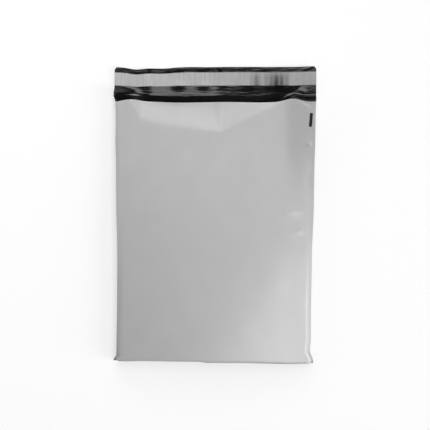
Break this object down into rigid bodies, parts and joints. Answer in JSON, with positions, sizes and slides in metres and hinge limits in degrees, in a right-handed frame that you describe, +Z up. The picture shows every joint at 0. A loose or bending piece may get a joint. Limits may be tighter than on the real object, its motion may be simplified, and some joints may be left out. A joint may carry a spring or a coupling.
{
  "type": "poly mailer bag",
  "caption": "Plain grey film mailing bag lying on its back, puffed open at the mouth, with a black inside, a flat lip and a pale peel-off liner over its adhesive strip.",
  "frame": {"origin": "centre of the bag's footprint on the surface that it lies on", "axes": "+Y from the bottom fold to the free edge of the lip, +X to the right with the front panel seen from above, +Z up out of the front panel"},
  "size_m": [0.23, 0.3352, 0.0225],
  "materials": {
    "film": "satin grey polythene film with a faint sheen, black on the inside and on the lip's upper face",
    "adhesive": "milky hot-melt glue",
    "liner": "pale grey siliconed release film with fine cross wrinkles"
  },
  "bodies": {
    "root": {"bag": "film", "adhesive_strip": "adhesive", "release_liner": "liner"}
  },
  "joints": []
}
